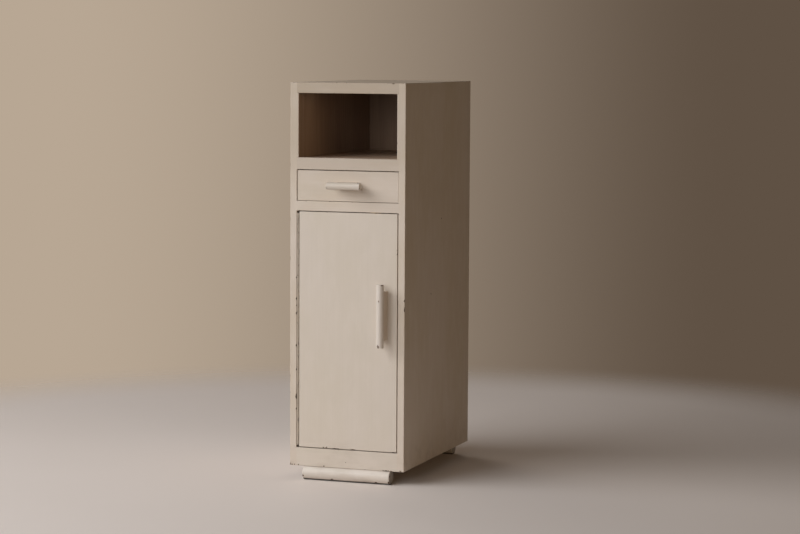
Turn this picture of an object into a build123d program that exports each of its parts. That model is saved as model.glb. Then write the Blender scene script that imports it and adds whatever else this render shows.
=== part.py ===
from build123d import *
import math
import os

# Narrow floor cabinet of painted boards: an open niche above a drawer above a hinged door,
# standing on two round bars. Millimetres, +Z up, the front faces -Y and +X is to the right.
# The origin is on the floor, in the middle of the whole footprint with the handles included.

# Body, without its feet and handles
body_width = 310.0
body_depth = 525.0
body_height = 980.0
board = 18.0  # side panels and top
outer_edge_radius = 1.5
arris_radius = 1.2  # eased edges round the openings, the door and the drawer front
edge_pick = 0.05  # how near a plane an edge counts as lying on it

# Rails of the front, each as high as it shows, and the openings between them, from the bottom up.
# The door takes the height that is left.
bottom_rail_height = 47.0
drawer_rail_height = 25.0
drawer_opening_height = 80.0
niche_rail_height = 30.0
niche_height = 163.0
top_rail_height = 27.0
rail_depth = 18.0
bottom_rail_depth = 34.0  # deeper, because the front foot is screwed to it

# Boards inside the carcass
bottom_thickness = 18.0
niche_floor_thickness = 12.0
niche_liner_thickness = 4.5
back_thickness = 5.0
back_rebate_width = 9.0
back_clearance = 0.3
rear_bearer_depth = 42.0

# Drawer ways
dust_board_thickness = 6.0
runner_width = 20.0
kicker_width = 20.0
drawer_stop_height = 18.0
drawer_stop_gap = 0.3

# Cupboard fittings
shelf_thickness = 15.0
shelf_rise = 300.0  # underside of the shelf above the cupboard floor
shelf_setback = 60.0  # front edge of the shelf behind the face of the cabinet
shelf_clearance = 0.3
cleat_width = 16.0
cleat_height = 18.0
cleat_setback = 12.0  # behind the shelf's front edge
door_stop_width = 12.0
door_stop_depth = 12.0
door_stop_gap = 0.3

# Feet: round bars across the width, planed flat below to stand and above to seat
foot_diameter = 37.0
foot_flat = 1.0  # planed off at the top and at the bottom
foot_length = 236.0
front_foot_overhang = 8.5  # how far the front bar stands proud of the face
rear_foot_shift = 3.0  # the rear bar lies a little off the middle
foot_end_radius = 2.0
foot_screw_shares = (-0.36, 0, 0.36)  # from the middle, of the foot's length
foot_counterbore_depth = 14.0

# Door
door_thickness = 18.0
door_setback = 0.5
door_hinge_gap = 7.0
door_latch_gap = 2.4
door_top_gap = 2.0
door_bottom_gap = 2.0

# Drawer
drawer_setback = 2.0  # its face behind the face of the cabinet
drawer_front_thickness = 18.0
drawer_side_gap = 0.7
drawer_top_gap = 2.0
drawer_bottom_gap = 0.8
drawer_run_gap = 0.3  # between the drawer's sides and its runners
drawer_side_thickness = 10.0
drawer_side_height = 62.0
drawer_lap = 10.0  # how far the sides lap into the front
drawer_rear_room = 74.0  # between the drawer's rear end and the back panel
drawer_back_thickness = 10.0
drawer_back_drop = 6.0  # top of the drawer's back below the top of its sides
drawer_bottom_thickness = 4.0
drawer_groove_depth = 5.0
drawer_groove_rise = 9.0
drawer_groove_clearance = 0.2

# Handles: a round bar on a rib that is set back from the bar's ends
handle_diameter = 19.0
handle_standoff = 30.0  # axis of the bar in front of the face of the cabinet
handle_seat = 4.3  # flat on the bar's back, measured from its axis
handle_end_radius = 1.0
rib_width = 17.0
rib_end_inset = 18.0
rib_arris = 1.0
door_handle_length = 160.0
door_handle_rise = 350.0  # middle of the handle above the sill
door_handle_inset = 34.5  # axis of the handle from the door's free edge
drawer_handle_length = 89.0
drawer_handle_shift = 1.5  # to the right of the drawer's middle
drawer_handle_lift = 1.5  # above the middle of the opening

# Strip hinge on the door's left edge
knuckle_side_gap = 0.5  # between a knuckle and the wood on either side of it
knuckle_count = 19
knuckle_gap = 0.4  # between neighbouring knuckles
hinge_axis_depth = 2.6  # behind the face of the cabinet
hinge_end_margin = 4.0
hinge_pin_diameter = 3.0
hinge_pin_clearance = 0.05
hinge_leaf_thickness = 1.0
hinge_leaf_width = 14.0  # from the axis to the leaf's rear edge
hinge_screw_count = 7

# Bullet catch in the door's top edge
catch_inset = 62.0  # from the door's free edge
catch_barrel_diameter = 9.0
catch_barrel_length = 26.0
catch_barrel_wall = 0.8
catch_barrel_floor = 1.2
catch_lip = 1.0
catch_nose_diameter = 5.0
catch_nose_clearance = 0.1
catch_shoulder_length = 4.0
catch_shoulder_clearance = 0.08
catch_shoulder_gap = 0.1  # under the lip
catch_reach = 1.2  # tip of the plunger above the head of the door opening
catch_stem_diameter = 2.6
catch_stem_length = 6.0
catch_fit = 0.03  # barrel in its bore
catch_spring_wire = 0.6
catch_spring_diameter = 5.2  # at the middle of the wire
catch_spring_turns = 7
catch_spring_gap = 0.05
strike_thickness = 1.0
strike_length = 34.0
strike_width = 12.0
strike_hole_clearance = 0.5
strike_pocket_depth = 2.4
strike_screw_spacing = 24.0
strike_corner_radius = 2.0

# Fasteners
fastener_clearance = 0.05
overrun = 1.0  # how far a cut runs past the face it starts from
dowel_diameter = 8.0
dowel_in_side = 11.0
dowel_in_rail = 21.0
dowel_end_gap = 1.0
dowel_end_chamfer = 0.8
panel_dowel_shares = (0.12, 0.5, 0.88)
screw_slot_width = 0.9
screw_slot_share = 0.5  # of the head's height
foot_screw_shank = 5.0  # diameters of the shank and the head, then the head's height and the shank's length
foot_screw_head = 9.5
foot_screw_head_height = 3.0
foot_screw_length = 40.0
handle_screw_shank = 4.0
handle_screw_head = 8.0
handle_screw_head_height = 2.2
handle_screw_length = 36.0
hinge_screw_shank = 2.5
hinge_screw_head = 4.8
hinge_screw_head_height = 0.8
hinge_screw_length = 14.0
strike_screw_shank = 2.0
strike_screw_head = 3.8
strike_screw_head_height = 0.7
strike_screw_length = 10.0
back_nail_shank = 1.6
back_nail_head = 4.4
back_nail_head_height = 0.9
back_nail_length = 24.0
drawer_pin_shank = 1.4
drawer_pin_head = 2.8
drawer_pin_head_height = 0.8
drawer_pin_length = 24.0
back_nail_side_shares = (0.05, 0.23, 0.41, 0.59, 0.77, 0.95)
back_nail_end_shares = (-0.3, 0.3)
drawer_pin_shares = (0.3, 0.75)

# Each kind of fastener: shank, head, head height, length
foot_screw = (foot_screw_shank, foot_screw_head, foot_screw_head_height, foot_screw_length)
handle_screw = (handle_screw_shank, handle_screw_head, handle_screw_head_height, handle_screw_length)
hinge_screw = (hinge_screw_shank, hinge_screw_head, hinge_screw_head_height, hinge_screw_length)
strike_screw = (strike_screw_shank, strike_screw_head, strike_screw_head_height, strike_screw_length)
back_nail = (back_nail_shank, back_nail_head, back_nail_head_height, back_nail_length)
drawer_pin = (drawer_pin_shank, drawer_pin_head, drawer_pin_head_height, drawer_pin_length)

# Planes of the cabinet, worked out from the sizes above
handle_reach = handle_standoff + handle_diameter / 2
foot_stand = foot_diameter - 2 * foot_flat
inner = body_width / 2 - board
outer = body_width / 2
front = (handle_reach - body_depth) / 2
back = front + body_depth
inner_back = back - back_thickness
base = foot_stand
top = base + body_height
niche_head = top - top_rail_height
niche_sill = niche_head - niche_height
drawer_head = niche_sill - niche_rail_height
drawer_sill = drawer_head - drawer_opening_height
door_head = drawer_sill - drawer_rail_height
sill = base + bottom_rail_height
rail_back = front + rail_depth

door_left = door_hinge_gap - inner
door_right = inner - door_latch_gap
door_front = front + door_setback
door_back = door_front + door_thickness
door_foot = sill + door_bottom_gap
door_top = door_head - door_top_gap

drawer_half = inner - drawer_side_gap
drawer_face = front + drawer_setback
drawer_front_back = drawer_face + drawer_front_thickness
drawer_side_start = drawer_front_back - drawer_lap
drawer_rear = inner_back - drawer_rear_room
drawer_foot = drawer_sill + drawer_run_gap
drawer_rim = drawer_foot + drawer_side_height
drawer_inner = drawer_half - drawer_side_thickness
drawer_floor = drawer_foot + drawer_groove_rise

handle_axis = front - handle_standoff
handle_radius = handle_diameter / 2
rib_front = handle_axis + handle_seat
door_handle_x = door_right - door_handle_inset
door_handle_z = sill + door_handle_rise
door_rib_length = door_handle_length - 2 * rib_end_inset
drawer_handle_z = (drawer_sill + drawer_head) / 2 + drawer_handle_lift
drawer_rib_length = drawer_handle_length - 2 * rib_end_inset
drawer_rib_left = drawer_handle_shift - drawer_rib_length / 2
drawer_rib_right = drawer_handle_shift + drawer_rib_length / 2

shelf_level = sill + shelf_rise
shelf_front = front + shelf_setback

hinge_x = door_hinge_gap / 2 - inner
hinge_y = front + hinge_axis_depth
hinge_low = door_foot + hinge_end_margin
hinge_high = door_top - hinge_end_margin
knuckle_radius = door_hinge_gap / 2 - knuckle_side_gap
knuckle_pitch = (hinge_high - hinge_low) / knuckle_count
pin_bore_radius = hinge_pin_diameter / 2 + hinge_pin_clearance

catch_x = door_right - catch_inset
catch_y = door_front + door_thickness / 2
catch_bore_radius = catch_barrel_diameter / 2 - catch_barrel_wall
catch_shoulder_top = door_top - catch_lip - catch_shoulder_gap
catch_shoulder_foot = catch_shoulder_top - catch_shoulder_length
catch_floor = door_top - catch_barrel_length + catch_barrel_floor

LEFT, RIGHT = -1, 1
SIDES = ((LEFT, "left"), (RIGHT, "right"))

os.makedirs("parts", exist_ok=True)


def save(piece, label):
    """Labels a finished piece and writes it to its own file."""
    piece.part.label = label
    export_step(piece.part, f"parts/{label}.step")


def block(x_span, y_span, z_span, mode=Mode.ADD):
    """A straight-sided block between two faces on each axis, in the part that is open."""
    spans = (x_span, y_span, z_span)
    with Locations(tuple((low + high) / 2 for low, high in spans)):
        Box(*(high - low for low, high in spans), mode=mode)


def across(side, near, far):
    """Span on X from the distance near to the distance far, on the left or the right side."""
    return tuple(sorted((side * near, side * far)))


def on_planes(edges, first_axis, first_place, second_axis, second_place):
    """The edges that lie on two planes, each square to an axis."""
    first = edges.filter_by_position(first_axis, first_place - edge_pick, first_place + edge_pick)
    return first.filter_by_position(second_axis, second_place - edge_pick, second_place + edge_pick)


def fasteners(places, toward, size, room=0.0, slotted=True):
    """A headed screw or nail at each place, its shank running toward the given direction.

    The head stands on the place, on the side away from the shank. Room makes the hole for one.
    """
    shank_diameter, head_diameter, head_height, length = size
    for place in places:
        with Locations(Plane(origin=place, z_dir=toward)):
            Cylinder(shank_diameter / 2 + room, length + room, align=(Align.CENTER, Align.CENTER, Align.MIN))
            Cylinder(head_diameter / 2 + room, head_height, align=(Align.CENTER, Align.CENTER, Align.MAX))
        if slotted and not room:
            with Locations(Plane(origin=place, z_dir=toward).offset(-head_height)):
                Box(head_diameter, screw_slot_width, 2 * head_height * screw_slot_share, mode=Mode.SUBTRACT)


def dowels(room=0.0, end_gap=0.0):
    """A dowel across each joint between a side panel and a rail or panel. Room makes its hole."""
    for side, _ in SIDES:
        for y, z in dowel_places:
            middle = side * (inner + (dowel_in_side - dowel_in_rail) / 2)
            with Locations((middle, y, z)):
                Cylinder(
                    dowel_diameter / 2 + room,
                    dowel_in_side + dowel_in_rail + 2 * end_gap,
                    rotation=(0, 90, 0),
                )


# Places of the fasteners
top_panel_depth = back - rail_back
bottom_panel_depth = inner_back - front - bottom_rail_depth
dowel_places = [(rail_back + share * top_panel_depth, top - board / 2) for share in panel_dowel_shares]
dowel_places += [
    (front + bottom_rail_depth + share * bottom_panel_depth, sill - bottom_thickness / 2)
    for share in panel_dowel_shares
]
dowel_places += [
    (front + rail_depth / 2, (niche_head + top) / 2),
    (front + rail_depth / 2, (drawer_head + niche_sill) / 2),
    (front + rail_depth / 2, (door_head + drawer_sill) / 2),
    (front + bottom_rail_depth / 2, (base + sill) / 2),
]

back_height = top - board + back_rebate_width - back_clearance - base
back_nail_y = back - back_nail_head_height
back_nail_places = [
    (side * (inner + back_rebate_width / 2), back_nail_y, base + share * back_height)
    for side, _ in SIDES
    for share in back_nail_side_shares
]
back_nail_places += [
    (share * body_width, back_nail_y, z)
    for share in back_nail_end_shares
    for z in (top - board + back_rebate_width / 2, (base + sill - bottom_thickness) / 2)
]

foot_middles = {
    "front_foot": (0, front - front_foot_overhang + foot_diameter / 2),
    "rear_foot": (rear_foot_shift, back - foot_diameter / 2),
}
foot_screw_places = [
    (x + share * foot_length, y, foot_counterbore_depth)
    for x, y in foot_middles.values()
    for share in foot_screw_shares
]

door_screw_places = [
    (door_handle_x, door_back, door_handle_z + end * door_rib_length / 4) for end in (-1, 1)
]
drawer_screw_places = [
    (drawer_handle_shift + end * drawer_rib_length / 4, drawer_front_back, drawer_handle_z) for end in (-1, 1)
]

hinge_screw_y = hinge_y + (knuckle_radius + hinge_leaf_width) / 2
hinge_screw_pitch = (hinge_high - hinge_low) / hinge_screw_count
hinge_screw_levels = [hinge_low + (number + 1 / 2) * hinge_screw_pitch for number in range(hinge_screw_count)]
frame_leaf_face = hinge_leaf_thickness - inner
door_leaf_face = door_left - hinge_leaf_thickness
frame_screw_places = [(frame_leaf_face, hinge_screw_y, level) for level in hinge_screw_levels]
leaf_screw_places = [(door_leaf_face, hinge_screw_y, level) for level in hinge_screw_levels]

strike_face = door_head - strike_thickness
strike_screw_level = strike_face + strike_screw_head_height
strike_screw_places = [
    (catch_x + end * strike_screw_spacing / 2, catch_y, strike_screw_level) for end in (-1, 1)
]

drawer_pin_levels = [drawer_foot + share * drawer_side_height for share in drawer_pin_shares]
drawer_pin_rows = (drawer_front_back - drawer_lap / 2, drawer_rear - drawer_back_thickness / 2)
drawer_pin_places = {
    side: [
        (side * (drawer_half - drawer_pin_head_height), y, level)
        for y in drawer_pin_rows
        for level in drawer_pin_levels
    ]
    for side, _ in SIDES
}

# Holes that several pieces share
with BuildPart() as dowel_holes:
    dowels(fastener_clearance, dowel_end_gap)
with BuildPart() as back_nail_holes:
    fasteners(back_nail_places, (0, -1, 0), back_nail, fastener_clearance)
with BuildPart() as foot_screw_holes:
    fasteners(foot_screw_places, (0, 0, 1), foot_screw, fastener_clearance)
    with Locations([(x, y, z - foot_screw_head_height) for x, y, z in foot_screw_places]):
        Cylinder(
            foot_screw_head / 2 + fastener_clearance,
            foot_counterbore_depth + overrun - foot_screw_head_height,
            align=(Align.CENTER, Align.CENTER, Align.MAX),
        )
with BuildPart() as door_screw_holes:
    fasteners(door_screw_places, (0, -1, 0), handle_screw, fastener_clearance)
with BuildPart() as drawer_screw_holes:
    fasteners(drawer_screw_places, (0, -1, 0), handle_screw, fastener_clearance)
with BuildPart() as frame_screw_holes:
    fasteners(frame_screw_places, (-1, 0, 0), hinge_screw, fastener_clearance)
with BuildPart() as leaf_screw_holes:
    fasteners(leaf_screw_places, (1, 0, 0), hinge_screw, fastener_clearance)
with BuildPart() as strike_holes:
    fasteners(strike_screw_places, (0, 0, 1), strike_screw, fastener_clearance)
    with Locations((catch_x, catch_y, strike_face - overrun)):
        Cylinder(
            catch_nose_diameter / 2 + strike_hole_clearance,
            overrun + strike_thickness + strike_pocket_depth,
            align=(Align.CENTER, Align.CENTER, Align.MIN),
        )
with BuildPart() as drawer_pin_holes:
    for side, _ in SIDES:
        fasteners(drawer_pin_places[side], (-side, 0, 0), drawer_pin, fastener_clearance)

# Side panels: full height, rebated for the back, their inner edges eased along the openings
for side, name in SIDES:
    with BuildPart() as side_panel:
        with BuildSketch(Plane.XY.offset(base)):
            with Locations((side * (inner + outer) / 2, (front + back) / 2)):
                Rectangle(board, body_depth)
            with Locations((side * inner, back)):
                Rectangle(2 * back_rebate_width, 2 * back_thickness, mode=Mode.SUBTRACT)
        extrude(amount=body_height)
        edges = side_panel.edges()
        outside = on_planes(edges, Axis.X, side * outer, Axis.Y, front)
        outside += on_planes(edges, Axis.X, side * outer, Axis.Y, back)
        outside += on_planes(edges, Axis.X, side * outer, Axis.Z, top)
        outside += on_planes(edges, Axis.X, side * outer, Axis.Z, base)
        outside += on_planes(edges, Axis.Y, front, Axis.Z, top)
        outside += on_planes(edges, Axis.Y, front, Axis.Z, base)
        outside += on_planes(edges, Axis.Y, back, Axis.Z, top)
        fillet(outside, outer_edge_radius)
        for low, high in ((sill, door_head), (drawer_sill, drawer_head)):
            with BuildSketch(Plane.XY.offset(low)):
                with Locations((side * (inner + arris_radius / 2), front + arris_radius / 2)):
                    Rectangle(arris_radius, arris_radius)
                with Locations((side * (inner + arris_radius), front + arris_radius)):
                    Circle(arris_radius, mode=Mode.SUBTRACT)
            extrude(amount=high - low, mode=Mode.SUBTRACT)
        add(dowel_holes.part, mode=Mode.SUBTRACT)
        add(back_nail_holes.part, mode=Mode.SUBTRACT)
        if side == LEFT:
            add(frame_screw_holes.part, mode=Mode.SUBTRACT)
    save(side_panel, f"{name}_side_panel")

# Top, between the sides and behind the top rail, rebated below for the back
with BuildPart() as top_panel:
    block((-inner, inner), (rail_back, back), (top - board, top))
    fillet(on_planes(top_panel.edges(), Axis.Y, back, Axis.Z, top), outer_edge_radius)
    rebate = (top - board - overrun, top - board + back_rebate_width)
    block((-outer, outer), (inner_back, back + overrun), rebate, Mode.SUBTRACT)
    add(dowel_holes.part, mode=Mode.SUBTRACT)
    add(back_nail_holes.part, mode=Mode.SUBTRACT)
save(top_panel, "top_panel")

# Floor of the cupboard, level with the sill
with BuildPart() as bottom_panel:
    block((-inner, inner), (front + bottom_rail_depth, inner_back), (sill - bottom_thickness, sill))
    add(dowel_holes.part, mode=Mode.SUBTRACT)
save(bottom_panel, "bottom_panel")

# Bearer under the floor at the back, which the rear foot is screwed to
with BuildPart() as rear_bearer:
    block((-inner, inner), (inner_back - rear_bearer_depth, inner_back), (base, sill - bottom_thickness))
    add(foot_screw_holes.part, mode=Mode.SUBTRACT)
    add(back_nail_holes.part, mode=Mode.SUBTRACT)
save(rear_bearer, "rear_bearer")

# Back, let into the rebates of the sides and the top
back_half = inner + back_rebate_width - back_clearance
with BuildPart() as back_panel:
    block((-back_half, back_half), (inner_back, back), (base, base + back_height))
    add(back_nail_holes.part, mode=Mode.SUBTRACT)
save(back_panel, "back_panel")

# Rails of the front, with the edges at the openings eased
with BuildPart() as top_rail:
    block((-inner, inner), (front, rail_back), (niche_head, top))
    fillet(on_planes(top_rail.edges(), Axis.Y, front, Axis.Z, top), outer_edge_radius)
    fillet(on_planes(top_rail.edges(), Axis.Y, front, Axis.Z, niche_head), arris_radius)
    add(dowel_holes.part, mode=Mode.SUBTRACT)
save(top_rail, "top_rail")

with BuildPart() as niche_rail:
    block((-inner, inner), (front, rail_back), (drawer_head, niche_sill))
    for level in (drawer_head, niche_sill):
        fillet(on_planes(niche_rail.edges(), Axis.Y, front, Axis.Z, level), arris_radius)
    add(dowel_holes.part, mode=Mode.SUBTRACT)
save(niche_rail, "niche_rail")

with BuildPart() as drawer_rail:
    block((-inner, inner), (front, rail_back), (door_head, drawer_sill))
    for level in (door_head, drawer_sill):
        fillet(on_planes(drawer_rail.edges(), Axis.Y, front, Axis.Z, level), arris_radius)
    add(dowel_holes.part, mode=Mode.SUBTRACT)
    add(strike_holes.part, mode=Mode.SUBTRACT)
save(drawer_rail, "drawer_rail")

with BuildPart() as bottom_rail:
    block((-inner, inner), (front, front + bottom_rail_depth), (base, sill))
    fillet(on_planes(bottom_rail.edges(), Axis.Y, front, Axis.Z, sill), arris_radius)
    fillet(on_planes(bottom_rail.edges(), Axis.Y, front, Axis.Z, base), outer_edge_radius)
    add(dowel_holes.part, mode=Mode.SUBTRACT)
    add(foot_screw_holes.part, mode=Mode.SUBTRACT)
save(bottom_rail, "bottom_rail")

# Inside of the niche
with BuildPart() as niche_floor:
    block((-inner, inner), (rail_back, inner_back), (niche_sill - niche_floor_thickness, niche_sill))
save(niche_floor, "niche_floor")

for side, name in SIDES:
    with BuildPart() as niche_liner:
        liner_face = inner - niche_liner_thickness
        block(across(side, liner_face, inner), (front, inner_back), (niche_sill, niche_head))
        fillet(on_planes(niche_liner.edges(), Axis.X, side * liner_face, Axis.Y, front), arris_radius)
    save(niche_liner, f"niche_liner_{name}")

# Ways of the drawer: dust board, runners, kickers above and stops behind
with BuildPart() as dust_board:
    block((-inner, inner), (rail_back, inner_back), (door_head, door_head + dust_board_thickness))
save(dust_board, "dust_board")

for side, name in SIDES:
    with BuildPart() as runner:
        run = (door_head + dust_board_thickness, drawer_sill)
        block(across(side, inner - runner_width, inner), (rail_back, inner_back), run)
    save(runner, f"drawer_runner_{name}")

    with BuildPart() as kicker:
        kick = (drawer_head, niche_sill - niche_floor_thickness)
        block(across(side, inner - kicker_width, inner), (rail_back, inner_back), kick)
    save(kicker, f"drawer_kicker_{name}")

    with BuildPart() as drawer_stop:
        block(
            across(side, inner - runner_width, inner),
            (drawer_rear + drawer_stop_gap, inner_back),
            (drawer_sill, drawer_sill + drawer_stop_height),
        )
    save(drawer_stop, f"drawer_stop_{name}")

# Shelf of the cupboard on its cleats, and the strip that the door closes against
with BuildPart() as shelf:
    shelf_half = inner - shelf_clearance
    block(
        (-shelf_half, shelf_half),
        (shelf_front, inner_back - shelf_clearance),
        (shelf_level, shelf_level + shelf_thickness),
    )
    fillet(shelf.edges().filter_by(Axis.X).group_by(Axis.Y)[0], arris_radius)
save(shelf, "shelf")

for side, name in SIDES:
    with BuildPart() as cleat:
        block(
            across(side, inner - cleat_width, inner),
            (shelf_front + cleat_setback, inner_back),
            (shelf_level - cleat_height, shelf_level),
        )
    save(cleat, f"shelf_cleat_{name}")

with BuildPart() as door_stop:
    stop_face = door_back + door_stop_gap
    block((inner - door_stop_width, inner), (stop_face, stop_face + door_stop_depth), (sill, door_head))
    fillet(door_stop.edges().filter_by(Axis.Z).group_by(Axis.X)[0], arris_radius)
save(door_stop, "door_stop")

# Feet
for label, (foot_x, foot_y) in foot_middles.items():
    with BuildPart() as foot:
        with BuildSketch(Plane.YZ.offset(foot_x)):
            with Locations((foot_y, foot_stand / 2)):
                Circle(foot_diameter / 2)
                Rectangle(foot_diameter, foot_stand, mode=Mode.INTERSECT)
        extrude(amount=foot_length / 2, both=True)
        ends = foot.faces().filter_by(Axis.X)
        fillet(ends.edges(), foot_end_radius)
        add(foot_screw_holes.part, mode=Mode.SUBTRACT)
    save(foot, label)

# Door leaf
with BuildPart() as door_panel:
    block((door_left, door_right), (door_front, door_back), (door_foot, door_top))
    fillet(door_panel.faces().sort_by(Axis.Y)[0].edges(), arris_radius)
    add(door_screw_holes.part, mode=Mode.SUBTRACT)
    add(leaf_screw_holes.part, mode=Mode.SUBTRACT)
    with Locations((catch_x, catch_y, door_top)):
        Cylinder(
            catch_barrel_diameter / 2 + catch_fit,
            2 * (catch_barrel_length + catch_fit),
            mode=Mode.SUBTRACT,
        )
save(door_panel, "door_panel")

# Handles, with a flat on the back of the bar where the rib is glued to it
with BuildPart() as door_handle_bar:
    with BuildSketch(Plane.XY.offset(door_handle_z)):
        with Locations((door_handle_x, handle_axis)):
            Circle(handle_radius)
    extrude(amount=door_handle_length / 2, both=True)
    fillet(door_handle_bar.edges().filter_by(GeomType.CIRCLE), handle_end_radius)
    block(
        (door_handle_x - handle_diameter, door_handle_x + handle_diameter),
        (rib_front, rib_front + handle_diameter),
        (door_handle_z - door_rib_length / 2, door_handle_z + door_rib_length / 2),
        Mode.SUBTRACT,
    )
save(door_handle_bar, "door_handle_bar")

with BuildPart() as door_handle_rib:
    block(
        (door_handle_x - rib_width / 2, door_handle_x + rib_width / 2),
        (rib_front, door_front),
        (door_handle_z - door_rib_length / 2, door_handle_z + door_rib_length / 2),
    )
    fillet(door_handle_rib.edges().filter_by(Axis.Y), rib_arris)
    add(door_screw_holes.part, mode=Mode.SUBTRACT)
save(door_handle_rib, "door_handle_rib")

with BuildPart() as drawer_handle_bar:
    with BuildSketch(Plane.YZ.offset(drawer_handle_shift)):
        with Locations((handle_axis, drawer_handle_z)):
            Circle(handle_radius)
    extrude(amount=drawer_handle_length / 2, both=True)
    fillet(drawer_handle_bar.edges().filter_by(GeomType.CIRCLE), handle_end_radius)
    block(
        (drawer_rib_left, drawer_rib_right),
        (rib_front, rib_front + handle_diameter),
        (drawer_handle_z - handle_diameter, drawer_handle_z + handle_diameter),
        Mode.SUBTRACT,
    )
save(drawer_handle_bar, "drawer_handle_bar")

with BuildPart() as drawer_handle_rib:
    block(
        (drawer_rib_left, drawer_rib_right),
        (rib_front, drawer_face),
        (drawer_handle_z - rib_width / 2, drawer_handle_z + rib_width / 2),
    )
    fillet(drawer_handle_rib.edges().filter_by(Axis.Y), rib_arris)
    add(drawer_screw_holes.part, mode=Mode.SUBTRACT)
save(drawer_handle_rib, "drawer_handle_rib")

# Drawer box: sides lapped into the front, bottom in grooves and under the back
with BuildPart() as drawer_front:
    block(
        (-drawer_half, drawer_half),
        (drawer_face, drawer_front_back),
        (drawer_sill + drawer_bottom_gap, drawer_head - drawer_top_gap),
    )
    fillet(drawer_front.faces().sort_by(Axis.Y)[0].edges(), arris_radius)
    for side, _ in SIDES:
        block(
            across(side, drawer_inner, drawer_half + overrun),
            (drawer_side_start, drawer_front_back + overrun),
            (drawer_sill, drawer_rim),
            Mode.SUBTRACT,
        )
    block(
        (-drawer_inner, drawer_inner),
        (drawer_front_back - drawer_groove_depth, drawer_front_back + overrun),
        (drawer_floor, drawer_floor + drawer_bottom_thickness),
        Mode.SUBTRACT,
    )
    add(drawer_screw_holes.part, mode=Mode.SUBTRACT)
    add(drawer_pin_holes.part, mode=Mode.SUBTRACT)
save(drawer_front, "drawer_front")

for side, name in SIDES:
    with BuildPart() as drawer_side:
        block(
            across(side, drawer_inner, drawer_half),
            (drawer_side_start, drawer_rear),
            (drawer_foot, drawer_rim),
        )
        block(
            across(side, drawer_inner - overrun, drawer_inner + drawer_groove_depth),
            (drawer_front_back - drawer_groove_depth, drawer_rear + overrun),
            (drawer_floor, drawer_floor + drawer_bottom_thickness),
            Mode.SUBTRACT,
        )
        fillet(drawer_side.edges().filter_by(Axis.Y).group_by(Axis.Z)[-1], arris_radius)
        add(drawer_pin_holes.part, mode=Mode.SUBTRACT)
    save(drawer_side, f"drawer_side_{name}")

with BuildPart() as drawer_back:
    block(
        (-drawer_inner, drawer_inner),
        (drawer_rear - drawer_back_thickness, drawer_rear),
        (drawer_floor + drawer_bottom_thickness, drawer_rim - drawer_back_drop),
    )
    add(drawer_pin_holes.part, mode=Mode.SUBTRACT)
save(drawer_back, "drawer_back")

bottom_half = drawer_inner + drawer_groove_depth - drawer_groove_clearance
with BuildPart() as drawer_bottom:
    block(
        (-bottom_half, bottom_half),
        (drawer_front_back - drawer_groove_depth + drawer_groove_clearance, drawer_rear),
        (drawer_floor, drawer_floor + drawer_bottom_thickness),
    )
save(drawer_bottom, "drawer_bottom")

# Strip hinge: a leaf on the side panel and a leaf on the door's edge, with knuckles in turn
leaf_spans = {
    "hinge_frame_leaf": (-inner, frame_leaf_face, 0, frame_screw_holes),
    "hinge_door_leaf": (door_leaf_face, door_left, 1, leaf_screw_holes),
}
for label, (leaf_near, leaf_far, first_knuckle, screw_holes) in leaf_spans.items():
    with BuildPart() as leaf:
        rear_edge = hinge_y + hinge_leaf_width
        block((leaf_near, leaf_far), (hinge_y + knuckle_radius, rear_edge), (hinge_low, hinge_high))
        for number in range(first_knuckle, knuckle_count, 2):
            low = hinge_low + number * knuckle_pitch + knuckle_gap / 2
            with BuildSketch(Plane.XY.offset(low)):
                with Locations((hinge_x, hinge_y)):
                    Circle(knuckle_radius)
                with Locations(((leaf_near + leaf_far) / 2, hinge_y + knuckle_radius / 2)):
                    Rectangle(hinge_leaf_thickness, knuckle_radius)
            extrude(amount=knuckle_pitch - knuckle_gap)
        with Locations((hinge_x, hinge_y, (hinge_low + hinge_high) / 2)):
            Cylinder(pin_bore_radius, hinge_high - hinge_low + 2 * overrun, mode=Mode.SUBTRACT)
        add(screw_holes.part, mode=Mode.SUBTRACT)
    save(leaf, label)

with BuildPart() as hinge_pin:
    with BuildSketch(Plane.XY.offset(hinge_low)):
        with Locations((hinge_x, hinge_y)):
            Circle(hinge_pin_diameter / 2)
    extrude(amount=hinge_high - hinge_low)
save(hinge_pin, "hinge_pin")

# Bullet catch: barrel in the door's top edge, sprung plunger, strike plate under the rail
with BuildPart() as catch_barrel:
    with BuildSketch(Plane.XY.offset(door_top - catch_barrel_length)):
        with Locations((catch_x, catch_y)):
            Circle(catch_barrel_diameter / 2)
    extrude(amount=catch_barrel_length)
    with BuildSketch(Plane.XY.offset(catch_floor)):
        with Locations((catch_x, catch_y)):
            Circle(catch_bore_radius)
    extrude(amount=door_top - catch_lip - catch_floor, mode=Mode.SUBTRACT)
    with BuildSketch(Plane.XY.offset(catch_floor)):
        with Locations((catch_x, catch_y)):
            Circle(catch_nose_diameter / 2 + catch_nose_clearance)
    extrude(amount=catch_barrel_length, mode=Mode.SUBTRACT)
save(catch_barrel, "catch_barrel")

with BuildPart() as catch_plunger:
    nose = catch_nose_diameter / 2
    shoulder = catch_bore_radius - catch_shoulder_clearance
    stem = catch_stem_diameter / 2
    tip = door_head + catch_reach
    stem_foot = catch_shoulder_foot - catch_stem_length
    with BuildSketch(Plane(origin=(catch_x, catch_y, 0), x_dir=(1, 0, 0), z_dir=(0, -1, 0))):
        with BuildLine():
            Polyline(
                (0, tip),
                (0, stem_foot),
                (stem, stem_foot),
                (stem, catch_shoulder_foot),
                (shoulder, catch_shoulder_foot),
                (shoulder, catch_shoulder_top),
                (nose, catch_shoulder_top),
                (nose, tip - nose),
            )
            RadiusArc((nose, tip - nose), (0, tip), -nose)
        make_face()
    revolve(axis=Axis((catch_x, catch_y, 0), (0, 0, 1)))
save(catch_plunger, "catch_plunger")


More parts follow.
